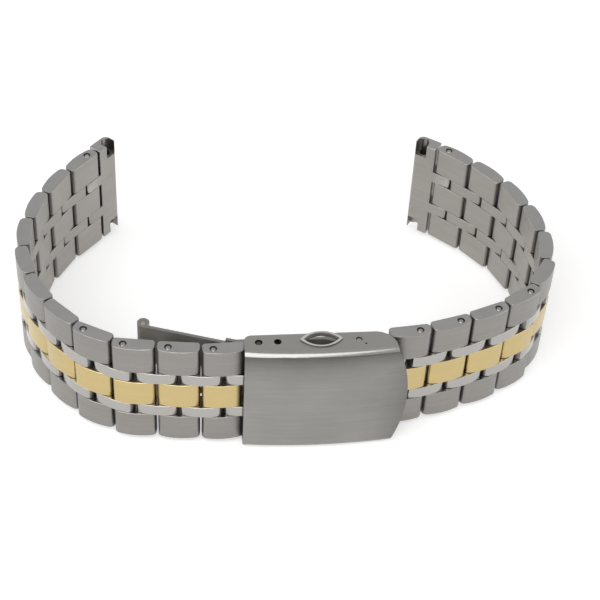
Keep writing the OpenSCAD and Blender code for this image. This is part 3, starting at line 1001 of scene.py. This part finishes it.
def pin(node, name, body, metal_finish=PIN_METAL):
    """A pin along z with chamfered ends, in its CAD node's place."""
    low, high = (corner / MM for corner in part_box(node))
    middle = (low + high) / 2
    profile = pin_profile((high.x - low.x) / 2, low.z, high.z)
    mesh = new_mesh()
    turned(mesh, middle.x, middle.y, profile, PIN_STEPS, 0)
    piece = piece_from(mesh, name, [metal_finish])
    dress(piece, body, node)


clasp_cover()
blade("frame_blade", "frame_blade_sheet", "frame_blade")
blade("inner_blade", "inner_blade_sheet", "inner_blade")
pin("cover_pin", "cover_hinge_pin", "clasp", HOLE_METAL)
pin("blade_pin", "blade_hinge_pin", "frame_blade")
pin("strap_pin", "strap_end_pin", "right_10")
spring_bar = piece_from(
    eased_copy("spring_bar", BAR_EASE), "adjusting_spring_bar", [BAR_METAL]
)
dress(spring_bar, "clasp", "spring_bar")


# Stage, light and camera

def light_path_factor(tree):
    """One for rays that show the ground itself: from the camera, off metal and
    through glass."""
    path = tree.nodes.new("ShaderNodeLightPath")
    seen = math_node(
        tree, "MAXIMUM", path.outputs["Is Camera Ray"], path.outputs["Is Glossy Ray"]
    )
    return math_node(tree, "MAXIMUM", seen, path.outputs["Is Transmission Ray"])


FLOOR_METRES = 3.0
FLOOR_WHITE = (0.8, 0.8, 0.8, 1)
FLOOR_GLOW = 0.42


def floor():
    """White table, lit from within where it is seen so that it stays white,
    while its own shading keeps the shadow."""
    mesh = bmesh.new()
    bmesh.ops.create_grid(mesh, x_segments=1, y_segments=1, size=FLOOR_METRES / 2)
    data = bpy.data.meshes.new("table_top")
    mesh.to_mesh(data)
    mesh.free()
    table = bpy.data.objects.new("table_top", data)
    bpy.context.scene.collection.objects.link(table)
    material = bpy.data.materials.new("white_table")
    material.use_nodes = True
    tree = material.node_tree
    tree.nodes.clear()
    output = tree.nodes.new("ShaderNodeOutputMaterial")
    matt = tree.nodes.new("ShaderNodeBsdfDiffuse")
    matt.inputs["Color"].default_value = FLOOR_WHITE
    glow = tree.nodes.new("ShaderNodeEmission")
    strength = math_node(tree, "MULTIPLY", light_path_factor(tree), FLOOR_GLOW)
    tree.links.new(strength, glow.inputs["Strength"])
    both = tree.nodes.new("ShaderNodeAddShader")
    tree.links.new(matt.outputs[0], both.inputs[0])
    tree.links.new(glow.outputs[0], both.inputs[1])
    tree.links.new(both.outputs[0], output.inputs["Surface"])
    data.materials.append(material)


WORLD_LIGHT = 0.5


def surroundings():
    """Even soft light, seen as white."""
    world = bpy.data.worlds.new("light_tent")
    bpy.context.scene.world = world
    world.use_nodes = True
    tree = world.node_tree
    tree.nodes.clear()
    output = tree.nodes.new("ShaderNodeOutputWorld")
    background = tree.nodes.new("ShaderNodeBackground")
    extra = math_node(tree, "MULTIPLY", light_path_factor(tree), 1 - WORLD_LIGHT)
    strength = math_node(tree, "ADD", extra, WORLD_LIGHT)
    tree.links.new(strength, background.inputs["Strength"])
    tree.links.new(background.outputs[0], output.inputs["Surface"])


def softbox(name, direction, distance, size, power):
    """Square area lamp that faces the bracelet from (azimuth, elevation) in
    degrees. Distance and size are metres, power is watts."""
    azimuth, elevation = (radians(angle) for angle in direction)
    lamp = bpy.data.lights.new(name, "AREA")
    lamp.size = size
    lamp.energy = power
    holder = bpy.data.objects.new(name, lamp)
    bpy.context.scene.collection.objects.link(holder)
    place = Vector((
        -sin(azimuth) * cos(elevation), -cos(azimuth) * cos(elevation), sin(elevation)
    ))
    holder.location = place * distance
    holder.rotation_euler = place.to_track_quat("Z", "Y").to_euler()


CAMERA_AZIMUTH = 7.502
CAMERA_ELEVATION = 43.545
CAMERA_ROLL = 3.393
CAMERA_DISTANCE = 291.78
CAMERA_AIM = (3.593, 5.577, 1.0)
CAMERA_LENS = 97.53
SENSOR = 36


def camera():
    """The photograph's view, found from the places of links and clasp in it."""
    azimuth = radians(CAMERA_AZIMUTH)
    elevation = radians(CAMERA_ELEVATION)
    roll = radians(CAMERA_ROLL)
    forward = Vector((
        sin(azimuth) * cos(elevation), cos(azimuth) * cos(elevation), -sin(elevation)
    ))
    right = Vector((cos(azimuth), -sin(azimuth), 0))
    up = right.cross(forward)
    rolled_right = cos(roll) * right + sin(roll) * up
    rolled_up = cos(roll) * up - sin(roll) * right
    data = bpy.data.cameras.new("photograph_camera")
    data.lens = CAMERA_LENS
    data.sensor_width = SENSOR
    data.clip_start = 0.01
    holder = bpy.data.objects.new("photograph_camera", data)
    bpy.context.scene.collection.objects.link(holder)
    matrix = Matrix((rolled_right, rolled_up, -forward)).transposed().to_4x4()
    matrix.translation = (Vector(CAMERA_AIM) - forward * CAMERA_DISTANCE) * MM
    holder.matrix_world = matrix
    bpy.context.scene.camera = holder


floor()
surroundings()
softbox("front_softbox", direction=(25, 50), distance=0.5, size=0.5, power=1.6)
softbox("left_softbox", direction=(80, 40), distance=0.6, size=0.4, power=0.5)
softbox("right_softbox", direction=(-80, 40), distance=0.6, size=0.4, power=0.5)
camera()
bpy.context.scene.view_settings.view_transform = "Standard"

bpy.context.view_layer.update()
